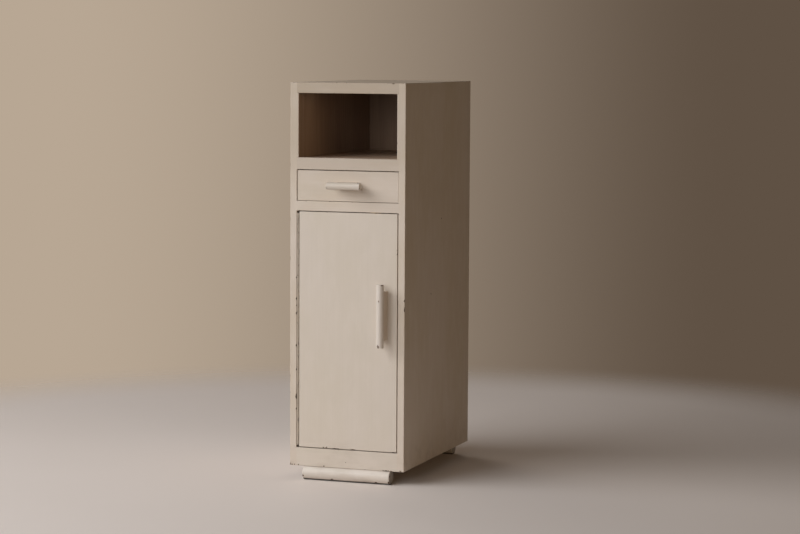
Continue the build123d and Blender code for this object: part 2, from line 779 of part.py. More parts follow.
def spring_point(share, low, high):
    """Point and direction on the spring's middle line, at a share of its whole length."""
    angle = 2 * math.pi * catch_spring_turns * share
    radius = catch_spring_diameter / 2
    rise = (high - low) / (2 * math.pi * catch_spring_turns)
    point = Vector(
        catch_x + radius * math.cos(angle),
        catch_y + radius * math.sin(angle),
        low + (high - low) * share,
    )
    direction = Vector(-radius * math.sin(angle), radius * math.cos(angle), rise)
    return point, direction.normalized()


with BuildPart() as catch_spring:
    seat = catch_spring_wire / 2 + catch_spring_gap
    spring_span = (catch_floor + seat, catch_shoulder_foot - seat)
    half_turns = 2 * catch_spring_turns
    with BuildLine() as spring_path:
        for number in range(half_turns):
            start, leaving = spring_point(number / half_turns, *spring_span)
            end, arriving = spring_point((number + 1) / half_turns, *spring_span)
            chord = end - start
            # Two arcs that meet on the same tangent, with equal tangent lengths
            a = 2 * (1 - leaving.dot(arriving))
            b = 2 * chord.dot(leaving + arriving)
            c = chord.dot(chord)
            reach = (math.sqrt(b * b + 4 * a * c) - b) / (2 * a)
            middle = (start + end + (leaving - arriving) * reach) * (1 / 2)
            TangentArc(start, middle, tangent=leaving)
            TangentArc(middle, end, tangent=chord - (leaving + arriving) * reach)
    spring_start, spring_direction = spring_point(0, *spring_span)
    with BuildSketch(Plane(origin=spring_start, z_dir=spring_direction)):
        Circle(catch_spring_wire / 2)
    sweep(path=spring_path.wire())
save(catch_spring, "catch_spring")

turn_step_count = 24
spring_step_count = catch_spring_turns * turn_step_count
spring_points = [
    spring_point(step / spring_step_count, *spring_span)[0] for step in range(spring_step_count + 1)
]
nearest = min(
    (other - point).length
    for number, point in enumerate(spring_points)
    for other in spring_points[number + turn_step_count // 2 :]
)
print(f"catch spring: least gap to itself {nearest - catch_spring_wire:.2f} mm")

with BuildPart() as catch_strike:
    with BuildSketch(Plane.XY.offset(strike_face)):
        with Locations((catch_x, catch_y)):
            RectangleRounded(strike_length, strike_width, strike_corner_radius)
    extrude(amount=strike_thickness)
    add(strike_holes.part, mode=Mode.SUBTRACT)
save(catch_strike, "catch_strike")

# Fasteners, one piece of work for each kind
with BuildPart() as carcass_dowels:
    dowels()
    chamfer(carcass_dowels.edges().filter_by(GeomType.CIRCLE), dowel_end_chamfer)
save(carcass_dowels, "carcass_dowels")

with BuildPart() as back_panel_nails:
    fasteners(back_nail_places, (0, -1, 0), back_nail, slotted=False)
save(back_panel_nails, "back_panel_nails")

with BuildPart() as foot_screws:
    fasteners(foot_screw_places, (0, 0, 1), foot_screw)
save(foot_screws, "foot_screws")

with BuildPart() as door_handle_screws:
    fasteners(door_screw_places, (0, -1, 0), handle_screw)
save(door_handle_screws, "door_handle_screws")

with BuildPart() as drawer_handle_screws:
    fasteners(drawer_screw_places, (0, -1, 0), handle_screw)
save(drawer_handle_screws, "drawer_handle_screws")

with BuildPart() as hinge_frame_screws:
    fasteners(frame_screw_places, (-1, 0, 0), hinge_screw)
save(hinge_frame_screws, "hinge_frame_screws")

with BuildPart() as hinge_door_screws:
    fasteners(leaf_screw_places, (1, 0, 0), hinge_screw)
save(hinge_door_screws, "hinge_door_screws")

with BuildPart() as catch_strike_screws:
    fasteners(strike_screw_places, (0, 0, 1), strike_screw)
save(catch_strike_screws, "catch_strike_screws")

with BuildPart() as drawer_pins:
    for side, _ in SIDES:
        fasteners(drawer_pin_places[side], (-side, 0, 0), drawer_pin, slotted=False)
save(drawer_pins, "drawer_pins")
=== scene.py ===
"""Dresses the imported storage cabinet: old cream paint outside, stained wood inside.

Metres, in the part's own frame: +Z is up, the front faces -Y and the floor is at Z 0.
Patterns are drawn in millimetres of the same frame, so they stay with a piece that moves.
"""

from __future__ import annotations

import logging
import math
from dataclasses import dataclass, field, fields, replace
from enum import Enum
from typing import ClassVar

import bmesh
import bpy
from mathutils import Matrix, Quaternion, Vector


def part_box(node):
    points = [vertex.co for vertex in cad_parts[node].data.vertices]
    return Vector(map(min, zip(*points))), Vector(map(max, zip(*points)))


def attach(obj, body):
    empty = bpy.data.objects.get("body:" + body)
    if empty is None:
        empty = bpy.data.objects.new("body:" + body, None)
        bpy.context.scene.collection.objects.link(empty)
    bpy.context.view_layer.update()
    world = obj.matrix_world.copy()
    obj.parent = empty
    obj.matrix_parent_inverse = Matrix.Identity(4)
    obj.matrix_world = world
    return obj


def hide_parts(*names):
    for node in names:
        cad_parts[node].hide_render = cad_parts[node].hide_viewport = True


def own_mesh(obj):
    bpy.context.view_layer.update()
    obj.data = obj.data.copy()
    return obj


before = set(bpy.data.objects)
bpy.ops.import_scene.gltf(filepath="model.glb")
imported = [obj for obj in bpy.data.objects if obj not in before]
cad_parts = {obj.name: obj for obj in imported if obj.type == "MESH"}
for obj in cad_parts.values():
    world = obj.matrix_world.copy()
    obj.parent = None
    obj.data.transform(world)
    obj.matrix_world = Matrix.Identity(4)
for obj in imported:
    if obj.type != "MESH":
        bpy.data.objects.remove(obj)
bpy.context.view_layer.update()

log = logging.getLogger("storage_cabinet")
MM = 0.001
FAR_MM = 5000.0  # past everything on the cabinet
SOFT = {"interpolation_type": "SMOOTHSTEP"}  # a ramp without corners

Pair = tuple[float, float]
Triple = tuple[float, float, float]
Colour = tuple[float, float, float, float]
Socket = bpy.types.NodeSocket
Source = Socket | float


def linear(hex_colour: str) -> Colour:
    """Turns an sRGB hex colour into the linear colour that a socket takes.

    Args:
        hex_colour: Six hex digits after a hash sign.

    Returns:
        Linear red, green and blue with full alpha.
    """
    shares = [int(hex_colour[i : i + 2], 16) / 255 for i in (1, 3, 5)]
    return (*(s / 12.92 if s <= 0.04045 else ((s + 0.055) / 1.055) ** 2.4 for s in shares), 1.0)


class Along(Enum):
    """The way that a board's grain or the painter's brush runs."""

    WIDTH = 0
    DEPTH = 1
    HEIGHT = 2

    def rates(self, across_mm: float, along_mm: float) -> Triple:
        """How fast a pattern runs on each axis, for marks of this width and length."""
        return tuple(1 / (along_mm if axis == self.value else across_mm) for axis in range(3))

    def square(self) -> Triple:
        """1 on the two axes across the grain and 0 along it."""
        return tuple(float(axis != self.value) for axis in range(3))


@dataclass(frozen=True)
class Blotch:
    """A kind of uneven blotch, by its real size."""

    size_mm: Pair  # width and length
    seed: float  # shifts the pattern, so that no two are alike
    ease: Pair = (0.3, 0.7)  # levels of the noise between which a blotch fades in
    most: float = 1.0  # the share where a blotch is full
    detail: float = 2.0  # how many finer sizes are mixed in
    seed_shares: ClassVar[Triple] = (1.0, 0.7, 1.3)  # how far the seed shifts each axis


@dataclass
class Canvas:
    """A material's node tree with the surface point on it, in millimetres."""

    tree: bpy.types.NodeTree
    point: Socket = field(init=False)
    axes: list[Socket] = field(init=False)
    facing: Socket = field(init=False)

    def __post_init__(self) -> None:
        """Puts the point, its three axes and the way the surface faces on the canvas."""
        place = self.add("TexCoord", output="Object")
        self.facing = place.node.outputs["Normal"]
        self.point = self.add("VectorMath", place, named={"Scale": 1 / MM}, operation="SCALE")
        self.axes = list(self.add("SeparateXYZ", self.point).node.outputs)

    def add(
        self,
        kind: str,
        *inputs: object,
        named: dict[int | str, object] | None = None,
        output: int | str = 0,
        **settings: object,
    ) -> Socket:
        """Adds one node with its settings, values and links.

        Args:
            kind: The node's type, without the prefix that they all have.
            *inputs: A value, or a socket to link, for each input in order.
            named: The same for inputs by their name or number.
            output: Name or number of the output that is wanted.
            **settings: The node's own fields.

        Returns:
            The wanted output.
        """
        node = self.tree.nodes.new("ShaderNode" + kind)
        for name, value in settings.items():
            setattr(node, name, value)
        for key, value in (*enumerate(inputs), *(named or {}).items()):
            if isinstance(value, Socket):
                self.tree.links.new(value, node.inputs[key])
            else:
                node.inputs[key].default_value = value
        return node.outputs[output]

    def blotches(self, along: Along, kind: Blotch) -> Socket:
        """Draws blotches that run one way.

        Args:
            along: The way they run.
            kind: What they are like.

        Returns:
            A share from 0 to the kind's most.
        """
        shift = tuple(kind.seed * share for share in kind.seed_shares)
        rates = along.rates(*kind.size_mm)
        place = self.add("VectorMath", self.point, rates, shift, operation="MULTIPLY_ADD")
        noise = self.add("TexNoise", place, named={"Scale": 1.0, "Detail": kind.detail})
        return self.add("MapRange", noise, *kind.ease, 0.0, kind.most, **SOFT)


@dataclass(frozen=True)
class Coat:
    """What one coat shows: colour, roughness, height in millimetres and how metallic it is."""

    colour: Socket | Colour
    roughness: Source
    height: Source = 0.0
    metallic: Source = 0.0

    def covered(self, canvas: Canvas, over: Coat, share: Source) -> Coat:
        """This coat with another on it.

        Args:
            canvas: The material that holds both.
            over: The coat on top.
            share: 1 where the coat on top hides this one.

        Returns:
            What shows of the two.
        """
        seen = {}
        for part in fields(self):
            under, top = getattr(self, part.name), getattr(over, part.name)
            kind, first, output = ("RGBA", 6, 2) if part.name == "colour" else ("FLOAT", 2, 0)
            if under != top:
                named = {first: under, first + 1: top}
                under = canvas.add("Mix", share, named=named, output=output, data_type=kind)
            seen[part.name] = under
        return Coat(**seen)

    def tinged(self, canvas: Canvas, hue: str, share: Source) -> Coat:
        """This coat with its colour drawn towards a hue by a share."""
        return self.covered(canvas, replace(self, colour=linear(hue)), share)


@dataclass(frozen=True)
class Finish:
    """A finish that becomes one material."""

    name: str
    ior: ClassVar[float] = 1.5

    def coat(self, canvas: Canvas) -> Coat:
        """Draws what the finish shows."""
        raise NotImplementedError

    def material(self) -> bpy.types.Material:
        """The material of this finish, made the first time it is asked for.

        Returns:
            The material, by the finish's name.
        """
        made = bpy.data.materials.get(self.name)
        if made is not None:
            return made
        made = bpy.data.materials.new(self.name)
        made.use_nodes = True
        canvas = Canvas(made.node_tree)
        coat = self.coat(canvas)
        shader = made.node_tree.nodes["Principled BSDF"]
        shader.inputs["IOR"].default_value = self.ior
        wanted = {"Base Color": coat.colour, "Roughness": coat.roughness, "Metallic": coat.metallic}
        if isinstance(coat.height, Socket):
            wanted["Normal"] = canvas.add("Bump", named={"Height": coat.height, "Distance": MM})
        for name, value in wanted.items():
            if isinstance(value, Socket):
                made.node_tree.links.new(value, shader.inputs[name])
            else:
                shader.inputs[name].default_value = value
        return made


@dataclass(frozen=True)
class Wood(Finish):
    """Planed wood, plain or stained.

    Growth rings run round a pith beside the board, so a face shows long flames and an end shows arcs.
    The rings are dark on their late side and the fibres make short streaks along the grain.
    """

    along: Along
    pale: str
    dark: str
    gloom: str
    roughness: float = 0.55
    ring_mm: float = 11.0
    wander_mm: float = 26.0  # how far the rings stray
    pith_mm: ClassVar[Triple] = (61.0, -143.0, 377.0)
    bend_mm: ClassVar[Pair] = (90.0, 520.0)  # length of the rings' bends across and along the grain
    late: ClassVar[Pair] = (0.15, 0.92)  # shares of a ring between which it darkens
    end: ClassVar[Pair] = (1.0, 0.94)  # shares between which it ends
    # Real fibres are finer: these are drawn as fine as shows.
    fibres: ClassVar[Blotch] = Blotch((1.6, 60.0), 3.1, (0.32, 0.68), detail=3.0)
    fibre_share: ClassVar[float] = 0.45  # of the figure, beside the rings
    relief_mm: ClassVar[float] = 0.05  # how much lower the dark wood lies
    unevenness: ClassVar[float] = 0.12  # range of the roughness
    dusk: ClassVar[Blotch] = Blotch((85.0, 340.0), 8.4, most=0.55)
    ior: ClassVar[float] = 1.53  # cellulose

    def coat(self, canvas: Canvas) -> Coat:
        """Draws rings, fibres and a slow change of tone.

        Args:
            canvas: The material to draw on.

        Returns:
            The bare wood.
        """
        add = canvas.add
        slow = add("VectorMath", canvas.point, self.along.rates(*self.bend_mm), operation="MULTIPLY")
        wander = add("TexNoise", slow, named={"Scale": 1.0, "Detail": 2.0}, output="Color")
        bent = add("VectorMath", wander, (self.wander_mm,) * 3, canvas.point, operation="MULTIPLY_ADD")
        bent = add("VectorMath", bent, self.pith_mm, operation="SUBTRACT")
        bent = add("VectorMath", bent, self.along.square(), operation="MULTIPLY")
        radius = add("VectorMath", bent, output="Value", operation="LENGTH")
        ring = add("Math", add("Math", radius, self.ring_mm, operation="DIVIDE"), operation="FRACT")
        rise = add("MapRange", ring, *self.late, **SOFT)
        fall = add("MapRange", ring, *self.end, **SOFT)
        rings = add("Math", rise, fall, operation="MULTIPLY")
        fibre = canvas.blotches(self.along, self.fibres)
        figure = add("Mix", self.fibre_share, named={2: rings, 3: fibre})
        smooth = self.roughness - self.unevenness / 2
        rough = add("Math", fibre, self.unevenness, smooth, operation="MULTIPLY_ADD")
        height = add("Math", figure, -self.relief_mm, operation="MULTIPLY")
        coat = Coat(linear(self.pale), rough, height).tinged(canvas, self.dark, figure)
        return coat.tinged(canvas, self.gloom, canvas.blotches(self.along, self.dusk))


@dataclass(frozen=True)
class Plywood(Wood):
    """Thin plywood: a rotary-cut face with wide flames, and stripes of plies on its edges."""

    across: Along = Along.HEIGHT
    ply_mm: ClassVar[float] = 1.4
    ply_blend: ClassVar[Pair] = (0.35, 0.65)  # shares of a ply between which one fades into the next
    cut: ClassVar[Pair] = (0.8, 0.5)  # how squarely a surface faces across the plies, from face to cut edge
    cut_roughness: ClassVar[float] = 0.75

    def coat(self, canvas: Canvas) -> Coat:
        """Draws the face, and the plies where the board is cut.

        Args:
            canvas: The material to draw on.

        Returns:
            The bare board.
        """
        add = canvas.add
        facing = add("SeparateXYZ", canvas.facing).node.outputs[self.across.value]
        flat = add("Math", facing, operation="ABSOLUTE")
        edge = add("MapRange", flat, *self.cut, **SOFT)
        turns = add("Math", canvas.axes[self.across.value], self.ply_mm, operation="DIVIDE")
        turns = add("Math", turns, 1.0, operation="PINGPONG")
        ply = add("MapRange", turns, *self.ply_blend, **SOFT)
        stripes = Coat(linear(self.pale), self.cut_roughness).tinged(canvas, self.gloom, ply)
        return super().coat(canvas).covered(canvas, stripes, edge)


@dataclass(frozen=True)
class TwoFacedBack(Finish):
    """The cabinet's back: stain on its inner face and bare plywood on the outer one."""

    inner: Wood
    outer: Plywood
    middle_mm: float
    ior: ClassVar[float] = Wood.ior

    def coat(self, canvas: Canvas) -> Coat:
        """Draws both faces of the one board."""
        behind = canvas.add("Math", canvas.axes[1], self.middle_mm, operation="GREATER_THAN")
        return self.inner.coat(canvas).covered(canvas, self.outer.coat(canvas), behind)


@dataclass(frozen=True)
class Chip:
    """A place where the paint has come off: its middle and its half sizes, in millimetres."""

    middle: Triple
    half: Triple


@dataclass(frozen=True)
class Paint(Finish):
    """Cream oil paint, brushed on in two coats and long since yellowed.

    It gives an eggshell sheen, faint brush marks along the board, a drift from pinkish to yellow cream,
    grime near the floor, a darkening towards the top, and small brown dots and slips where it has chipped off
    corners.
    """

    along: Along
    bare: Wood
    chips: tuple[Chip, ...] = ()
    fresh: str = "#D4C7BA"
    yellowed: str = "#D0C2B1"
    chalky: str = "#DACFC4"
    grime: str = "#8E7A60"
    roughness: float = 0.46
    edges_wear: bool = True
    rim_mm: Pair | None = None  # a bar's two ends, on the axis that it runs along
    darkening: float = 0.0  # share by which the whole piece is darkened
    top_darkening: ClassVar[float] = 0.26  # share by which the paint darkens towards the top, on faces that don't face sideways
    top_darkening_mm: ClassVar[Pair] = (740.0, 860.0)  # heights between which it sets in
    splashed_mm: ClassVar[Pair] = (150.0, 20.0)  # heights between which dirt from the floor thickens
    # A bristle leaves marks of 0.5 mm: these are drawn as fine as shows.
    brush: ClassVar[Blotch] = Blotch((3.4, 240.0), 1.7, (0.25, 0.75), detail=3.0)
    brush_mm: ClassVar[float] = 0.035  # height of a brush mark
    brush_rough: ClassVar[Pair] = (-0.06, 0.08)  # change of the roughness from a mark's foot to its top
    brush_grime: ClassVar[float] = 0.03
    sags: ClassVar[Blotch] = Blotch((46.0, 130.0), 7.9, (0.2, 0.8))
    sag_mm: ClassVar[float] = 0.2
    film_mm: ClassVar[float] = 0.3
    yellowing: ClassVar[Blotch] = Blotch((150.0, 380.0), 5.2, (0.36, 0.64))
    chalking: ClassVar[Blotch] = Blotch((22.0, 60.0), 9.6, (0.4, 0.75), 0.4, 4.0)
    dirt: ClassVar[Blotch] = Blotch((34.0, 70.0), 12.3, (0.42, 0.72), 0.22, 4.0)
    unchipped: ClassVar[float] = 2.0  # more half sizes away from a chip than any of it reaches
    chip_reach: ClassVar[float] = 1.35  # in half sizes
    chip_rag: ClassVar[Blotch] = Blotch((2.6, 2.6), 4.4, (0.25, 0.75), detail=3.0)
    chip_loss: ClassVar[float] = 0.9  # share of the reach that the ragged edge takes
    chip_edge: ClassVar[Pair] = (0.0, 0.14)
    slips: ClassVar[Blotch] = Blotch((9.0, 15.0), 15.8, (0.64, 0.69), detail=5.0)
    edge_turn: ClassVar[Pair] = (0.985, 0.9)  # how squarely it faces an axis, from face to rounded edge
    rim_width_mm: ClassVar[Pair] = (2.2, 0.6)
    ior: ClassVar[float] = 1.48  # linseed oil

    def film(self, canvas: Canvas) -> Coat:
        """Draws the paint film itself.

        Args:
            canvas: The material to draw on.

        Returns:
            The paint without its chips.
        """
        add = canvas.add
        brush = canvas.blotches(self.along, self.brush)
        sag = canvas.blotches(self.along, self.sags)
        foot, crest = self.brush_rough
        rough = add("Math", brush, crest - foot, self.roughness + foot, operation="MULTIPLY_ADD")
        height = add("Math", sag, self.sag_mm, self.film_mm, operation="MULTIPLY_ADD")
        height = add("Math", brush, self.brush_mm, height, operation="MULTIPLY_ADD")
        low = add("MapRange", canvas.axes[2], *self.splashed_mm, **SOFT)
        splashes = add("Math", low, canvas.blotches(Along.WIDTH, self.dirt), operation="MULTIPLY")
        # darker towards the top on faces that don't face sideways, and darker all over by the piece's
        # darkening
        top = add("MapRange", canvas.axes[2], *self.top_darkening_mm, 0.0, self.top_darkening, **SOFT)
        sideways = add("Math", add("SeparateXYZ", canvas.facing), operation="ABSOLUTE")
        away_from_sides = add("Math", 1.0, sideways, operation="SUBTRACT")
        darkened = add("Math", top, away_from_sides, self.darkening, operation="MULTIPLY_ADD")
        coat = Coat(linear(self.fresh), rough, height)
        coat = coat.tinged(canvas, self.yellowed, canvas.blotches(self.along, self.yellowing))
        coat = coat.tinged(canvas, self.chalky, canvas.blotches(self.along, self.chalking))
        for grime in (add("Math", brush, self.brush_grime, operation="MULTIPLY"), splashes, darkened):
            coat = coat.tinged(canvas, self.grime, grime)
        return coat

    def loss(self, canvas: Canvas) -> Socket:
        """Draws where the paint is gone: the listed chips, and here and there a rounded edge or a rim.

        Args:
            canvas: The material to draw on.

        Returns:
            1 where the wood is bare.
        """
        add = canvas.add
        nearest: Source = self.unchipped
        for chip in self.chips:
            rates = tuple(1 / size for size in chip.half)
            start = tuple(-middle * rate for middle, rate in zip(chip.middle, rates))
            away = add("VectorMath", canvas.point, rates, start, operation="MULTIPLY_ADD")
            away = add("VectorMath", away, output="Value", operation="LENGTH")
            nearest = add("Math", away, nearest, operation="MINIMUM")
        ragged = canvas.blotches(Along.HEIGHT, self.chip_rag)
        depth = add("Math", self.chip_reach, nearest, operation="SUBTRACT")
        depth = add("Math", ragged, -self.chip_loss, depth, operation="MULTIPLY_ADD")
        gone = add("MapRange", depth, *self.chip_edge, **SOFT)
        if self.edges_wear:
            turned = add("VectorMath", canvas.facing, operation="ABSOLUTE")
            parts = add("SeparateXYZ", turned).node.outputs
            most = add("Math", parts[0], parts[1], operation="MAXIMUM")
            most = add("Math", most, parts[2], operation="MAXIMUM")
            gone = self.rubbed(canvas, gone, add("MapRange", most, *self.edge_turn, **SOFT))
        if self.rim_mm:
            along = canvas.axes[self.along.value]
            near = add("Math", along, self.rim_mm[0], operation="SUBTRACT")
            end = add("Math", self.rim_mm[1], along, operation="SUBTRACT")
            end = add("Math", near, end, operation="MINIMUM")
            gone = self.rubbed(canvas, gone, add("MapRange", end, *self.rim_width_mm, **SOFT))
        return gone

    def rubbed(self, canvas: Canvas, gone: Socket, zone: Socket) -> Socket:
        """Adds slips of lost paint in a zone along an edge.

        Args:
            canvas: The material to draw on.
            gone: 1 where the wood is bare already.
            zone: 1 on the edge.

        Returns:
            1 where the wood is bare now.
        """
        slip = canvas.blotches(Along.HEIGHT, self.slips)
        worn = canvas.add("Math", slip, zone, operation="MULTIPLY")
        return canvas.add("Math", gone, worn, operation="MAXIMUM")

    def coat(self, canvas: Canvas) -> Coat:
        """Lays the film on the bare wood, but for the chips."""
        return self.film(canvas).covered(canvas, self.bare.coat(canvas), self.loss(canvas))


@dataclass(frozen=True)
class FootPaint(Paint):
    """The same paint on a bar that lies on the floor.

    It is darker towards the floor, from grime and painted shade, has painted shade on its ends, and a painted
    contact shadow, nearly black, where it meets the floor.
    """

    # colour of the painted contact shadow and of the painted shade on the ends
    painted_shadow_hue: str = "#221A13"
    splash: ClassVar[float] = 0.3  # share of grime and painted underside shade just above the floor
    grime_and_shade_low_mm: ClassVar[Pair] = (31.0, 5.0)  # heights between which it thickens
    contact_shadow: ClassVar[float] = 0.97  # share of painted contact shadow at the floor
    contact_shadow_mm: ClassVar[Pair] = (6.0, 2.4)
    # share of painted shade on the bar's ends
    end_shade: ClassVar[float] = 0.5
    end_turn: ClassVar[Pair] = (0.85, 0.99)  # how squarely a surface faces sideways, from bar to end

    def film(self, canvas: Canvas) -> Coat:
        """Draws the film with grime and painted shade low down, a painted contact shadow at the floor and
        painted shade on the ends.

        Args:
            canvas: The material to draw on.

        Returns:
            The paint without its chips.
        """
        add = canvas.add
        # painted shade: darker low down, nearly black at the floor as a contact shadow, and darker on the
        # ends
        splash = add("MapRange", canvas.axes[2], *self.grime_and_shade_low_mm, 0.0, self.splash)
        contact_shadow = add("MapRange", canvas.axes[2], *self.contact_shadow_mm, 0.0, self.contact_shadow, **SOFT)
        sideways = add("Math", add("SeparateXYZ", canvas.facing), operation="ABSOLUTE")
        end = add("MapRange", sideways, *self.end_turn, 0.0, self.end_shade)
        coat = super().film(canvas).tinged(canvas, self.grime, splash)
        return coat.tinged(canvas, self.painted_shadow_hue, add("Math", contact_shadow, end, operation="MAXIMUM"))


@dataclass(frozen=True)
class LinedPaint(Paint):
    """The same paint on a carcass board, whose inside is stained and left unpainted."""

    stain: Wood | None = None
    low_mm: Triple = (0.0, 0.0, 0.0)  # corners of the space that is stained
    high_mm: Triple = (0.0, 0.0, 0.0)

    def coat(self, canvas: Canvas) -> Coat:
        """Draws paint outside and stain inside.

        Args:
            canvas: The material to draw on.

        Returns:
            The painted and stained board.
        """
        inside: Source = 1.0
        for axis, low, high in zip(canvas.axes, self.low_mm, self.high_mm):
            above = canvas.add("Math", axis, low, operation="GREATER_THAN")
            below = canvas.add("Math", axis, high, operation="LESS_THAN")
            between = canvas.add("Math", above, below, operation="MULTIPLY")
            inside = canvas.add("Math", inside, between, operation="MULTIPLY")
        return super().coat(canvas).covered(canvas, self.stain.coat(canvas), inside)


@dataclass(frozen=True)
class Metal(Finish):
    """Drawn or turned metal that has gone dull: fine lines along it and darker spots of tarnish."""

    along: Along
    clean: str
    tarnish: str
    roughness: float = 0.36
    # Real drawing lines are finer: these are drawn as fine as shows.
    lines: ClassVar[Blotch] = Blotch((0.5, 18.0), 2.2)
    line_rough: ClassVar[float] = 0.1
    line_mm: ClassVar[float] = 0.01  # height of a line
    spots: ClassVar[Blotch] = Blotch((3.0, 3.0), 6.5, (0.44, 0.66), 0.85, 4.0)
    spot_rough: ClassVar[float] = 0.25

    def coat(self, canvas: Canvas) -> Coat:
        """Draws the lines and the tarnish.

        Args:
            canvas: The material to draw on.

        Returns:
            The bare metal.
        """
        lines = canvas.blotches(self.along, self.lines)
        spots = canvas.blotches(self.along, self.spots)
        rough = canvas.add("Math", lines, self.line_rough, self.roughness, operation="MULTIPLY_ADD")
        rough = canvas.add("Math", spots, self.spot_rough, rough, operation="MULTIPLY_ADD")
        height = canvas.add("Math", lines, self.line_mm, operation="MULTIPLY")
        return Coat(linear(self.clean), rough, height, 1.0).tinged(canvas, self.tarnish, spots)


@dataclass(frozen=True)
class PaintedSteel(Finish):
    """Steel strip hinge, painted over with the cabinet and rubbed by its own swing.

    The knuckles read as a mid brown grey band: dull steel, and paint drawn towards a dark brown that is
    partly dirt and partly painted shade of the gap they sit in, with cream left in patches.
    """

    paint: Paint
    steel: Metal
    # the dark brown is partly dirt and partly painted shade of the gap beside the door
    dirt: str = "#75664F"
    dirt_and_shade_share: ClassVar[float] = 0.36
    left: ClassVar[Blotch] = Blotch((2.4, 9.0), 11.1, (0.28, 0.52), 0.95, 4.0)

    def coat(self, canvas: Canvas) -> Coat:
        """Lays what is left of the paint on the steel.

        Args:
            canvas: The material to draw on.

        Returns:
            The rubbed hinge.
        """
        # paint darkened towards dirt and painted shade of the gap
        film = self.paint.film(canvas).tinged(canvas, self.dirt, self.dirt_and_shade_share)
        left = canvas.blotches(Along.HEIGHT, self.left)
        return self.steel.coat(canvas).covered(canvas, film, left)


# Whites of the cabinet's paint: where it is wiped the most, on the handles' bars, and on the feet's bars,
# whose whitest paint is a painted highlight of light from above.
WIPED = {"fresh": "#D5CABE", "yellowed": "#D3C8BA"}
WHITER = {"fresh": "#D9CFC5", "yellowed": "#D4C9BC", "chalky": "#DED6CE"}
FOOT_WHITES_AS_HIGHLIGHT = {"fresh": "#E4DCD4", "yellowed": "#DFD5CA", "chalky": "#E8E2DC"}

# Softwood wiped with a thin brown stain and varnished: a satin, rosy brown face with a soft grain in it.
STAINED = {
    way: Wood(f"thin_brown_stain_{way.name.lower()}", way, "#BEA691", "#A58C77", "#977E69", 0.46)
    for way in Along
}

# The same stain on plywood, which drinks more of it, made a darker brown still as painted shade for the back
# deep in the niche.
STAINED_PLYWOOD_AND_SHADE = Wood("stained_plywood_and_shade", Along.HEIGHT, "#9E7F63", "#886A50", "#7C5F46", 0.5, 17.0)

# The same stain on the niche's floor: paler, as a painted sheen of the light it catches, and a little
# shinier.
STAINED_FLOOR_WITH_SHEEN = Wood("brown_stain_with_painted_sheen", Along.WIDTH, "#D0B8A3", "#B79D87", "#A88E78", 0.42)

# Planed beech left bare, browned by age and handling: warm, matt and finely streaked.
BEECH = {
    way: Wood(f"aged_beech_{way.name.lower()}", way, "#C6A077", "#A47C53", "#9C7850", 0.6, 7.0)
    for way in Along
}

# Bare plywood, peeled from a log: broad flames, browned and dusty behind the cabinet, paler inside it.
PLYWOOD_BACK = Plywood(
    "plywood_back", Along.HEIGHT, "#B08D63", "#8A6742", "#7C5C3B", 0.72, 17.0, 60.0, across=Along.DEPTH
)
PLYWOOD_FLAT = Plywood("plywood_flat", Along.WIDTH, "#C0A078", "#9C7A52", "#93734C", 0.66, 15.0, 60.0)

# Wood bared by chips, with dirt worked into it: dull dark brown.
BARE = Wood("bare_edge", Along.HEIGHT, "#6A5340", "#453424", "#3B2C1F", 0.8)

# Drawn mild steel of screws, nails, pin and spring: grey, dull, with brown spots.
STEEL = Metal("dull_steel", Along.HEIGHT, "#9A958E", "#57504A", 0.42)

# Turned brass of the catch: yellow under a brown tarnish, a little shinier than the steel.
BRASS = Metal("aged_brass", Along.HEIGHT, "#B8995F", "#6F5733", 0.32)


def painted(piece: str, along: Along, *chips: Chip, **changes: object) -> Paint:
    """The cabinet's cream paint on one piece, brushed one way, with its own chips.

    Args:
        piece: What it is on, which names the material.
        along: The way of the brush.
        *chips: Chips of the piece.
        **changes: Other fields that differ from the usual paint.

    Returns:
        The finish.
    """
    return Paint(f"cream_oil_paint_{piece}", along, BARE, chips, **changes)


@dataclass
class SubAssembly:
    """Pieces that are made and finished together, on one body."""

    body: str

    def corners(self, node: str) -> tuple[Triple, Triple]:
        """A CAD piece's lowest and highest corner, in millimetres."""
        return tuple(tuple(value / MM for value in corner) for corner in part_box(node))

    def dress(self, finish: Finish, *nodes: str) -> None:
        """Gives CAD pieces a finish and reports them.

        Args:
            finish: What they are finished with.
            *nodes: Their names.
        """
        for node in nodes:
            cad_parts[node].material_slots[0].material = finish.material()
            log.info("%s: %s on %s", node, finish.name, self.body)


